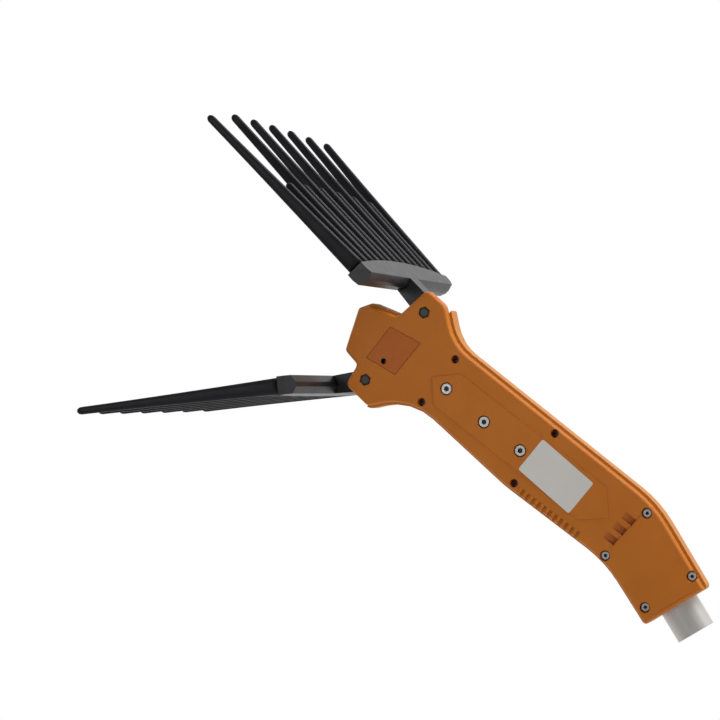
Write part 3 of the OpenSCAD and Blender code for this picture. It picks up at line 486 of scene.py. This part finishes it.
# Silver foil: a pale, matt grey that mirrors almost nothing.
foil, tree, shader = new_material("silver_foil", Metallic=0.15, Roughness=0.5)
tint(tree, shader, wear_pattern(tree, grain_mm=60.0), "#d3d0ca", "#d9d6d0")
pad_spot = near_face(label_at)
turn = Matrix.Rotation(-label_lean, 4, "Y")
corners = [(x * label_wide / 2, z * label_long / 2)
           for x, z in ((-1, -1), (1, -1), (1, 1), (-1, 1))]
mesh = bmesh.new()
front, back = [[mesh.verts.new(pad_spot + turn @ Vector((x, y, z))) for x, z in corners]
               for y in (-label_thick, 0.0)]
mesh.faces.new(front)
mesh.faces.new(back[::-1])
for i in range(4):
    mesh.faces.new((front[i - 1], back[i - 1], back[i], front[i]))
bmesh.ops.recalc_face_normals(mesh, faces=mesh.faces)
upright = [e for e in mesh.edges if abs(e.verts[0].co.y - e.verts[1].co.y) > label_thick / 2]
bmesh.ops.bevel(mesh, geom=upright, offset=label_corner, segments=5, affect="EDGES", profile=0.5)
label_mesh = bpy.data.meshes.new("label_plate")
mesh.to_mesh(label_mesh)
mesh.free()
label_mesh.materials.append(foil)
label = bpy.data.objects.new("label_plate", label_mesh)
bpy.context.collection.objects.link(label)
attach(label, "housing")

# Studio: white walls that are dimmer on the viewer's side, so that the face lies in soft shade
# and the edges shine, over a pale floor. A broad lamp stands beside the spine, and a small one
# gives the screws and the label a glint.
ambient_levels = {"To Min": 0.31, "To Max": 1.1}  # viewer's side and far side, for matt surfaces
mirrored_levels = {"To Min": 0.2, "To Max": 1.0}  # the same walls as seen in a reflection
wall_turn = {"From Min": -0.75, "From Max": 0.35}  # where the walls pass from dim to white
floor_drop, floor_reach, floor_glow = 1.6, 8.0, 0.8
white = linear("#ffffff")
scene = bpy.context.scene
scene.view_settings.view_transform = "Standard"
world = scene.world or bpy.data.worlds.new("studio")
scene.world = world
world.use_nodes = True
tree = world.node_tree
tree.nodes.clear()
place = add(tree, "ShaderNodeTexCoord")
toward = add(tree, "ShaderNodeSeparateXYZ", {0: place.outputs["Generated"]})
rays = add(tree, "ShaderNodeLightPath").outputs
ambient, mirrored = [
    add(tree, "ShaderNodeBackground", {"Color": white, "Strength": add(
        tree, "ShaderNodeMapRange", {"Value": toward.outputs["Y"], **wall_turn, **levels})})
    for levels in (ambient_levels, mirrored_levels)]
backdrop = add(tree, "ShaderNodeBackground", {"Color": white, "Strength": 1.0})
walls = add(tree, "ShaderNodeMixShader", {"Fac": rays["Is Glossy Ray"], 1: ambient, 2: mirrored})
seen = add(tree, "ShaderNodeMath",
           {0: rays["Is Camera Ray"], 1: rays["Is Transmission Ray"]}, operation="MAXIMUM")
walls = add(tree, "ShaderNodeMixShader", {"Fac": seen, 1: walls, 2: backdrop})
add(tree, "ShaderNodeOutputWorld", {"Surface": walls})

# White paper: a matt floor that the camera sees nearly white, with some of the shadow kept.
paper, tree, shader = new_material("white_paper", Base_Color=linear("#f4f4f4"), Roughness=0.9)
rays = add(tree, "ShaderNodeLightPath").outputs
glow = add(tree, "ShaderNodeEmission", {"Color": white, "Strength": 1.0})
seen = add(tree, "ShaderNodeMath", {0: rays["Is Camera Ray"], 1: floor_glow},
           operation="MULTIPLY")
mix = add(tree, "ShaderNodeMixShader", {"Fac": seen, 1: shader, 2: glow})
tree.links.new(mix.outputs[0], tree.nodes["Material Output"].inputs["Surface"])
floor_mesh = bpy.data.meshes.new("floor")
floor_z = cad_box[0][2] - floor_drop
rim = [math.radians(a) for a in range(0, 360, 5)]
floor_mesh.from_pydata([(floor_reach * math.cos(a), floor_reach * math.sin(a), floor_z)
                        for a in rim], [], [tuple(range(len(rim)))])
floor_mesh.materials.append(paper)
floor = bpy.data.objects.new("floor", floor_mesh)
bpy.context.collection.objects.link(floor)

middle = (Vector(cad_box[0]) + Vector(cad_box[1])) / 2
for name, place, size, watts in (("key", (1.9, 0.1, 1.2), 1.2, 34),
                                 ("glint", (-0.5, -2.3, 0.9), 0.5, 4)):
    light = bpy.data.lights.new(name, "AREA")
    light.size, light.energy = size, watts
    lamp = bpy.data.objects.new(name, light)
    lamp.location = place
    lamp.rotation_euler = (middle - Vector(place)).to_track_quat("-Z", "Y").to_euler()
    bpy.context.collection.objects.link(lamp)

# Camera: the photograph's viewpoint, in front of the lower end of the pole, rolled and with a
# long lens.
camera_at = (0.45423, -2.01006, -0.01356)
right = Vector((0.79750742, 0.34199424, -0.49701293))
up = Vector((0.53306871, -0.01366214, 0.84596164))
lens = bpy.data.cameras.new("camera")
lens.lens, lens.sensor_width, lens.sensor_fit = 106.6, 36.0, "AUTO"
camera = bpy.data.objects.new("camera", lens)
turn = Matrix((right, up, right.cross(up))).transposed().to_4x4()
camera.matrix_world = Matrix.Translation(camera_at) @ turn
bpy.context.collection.objects.link(camera)
scene.camera = camera
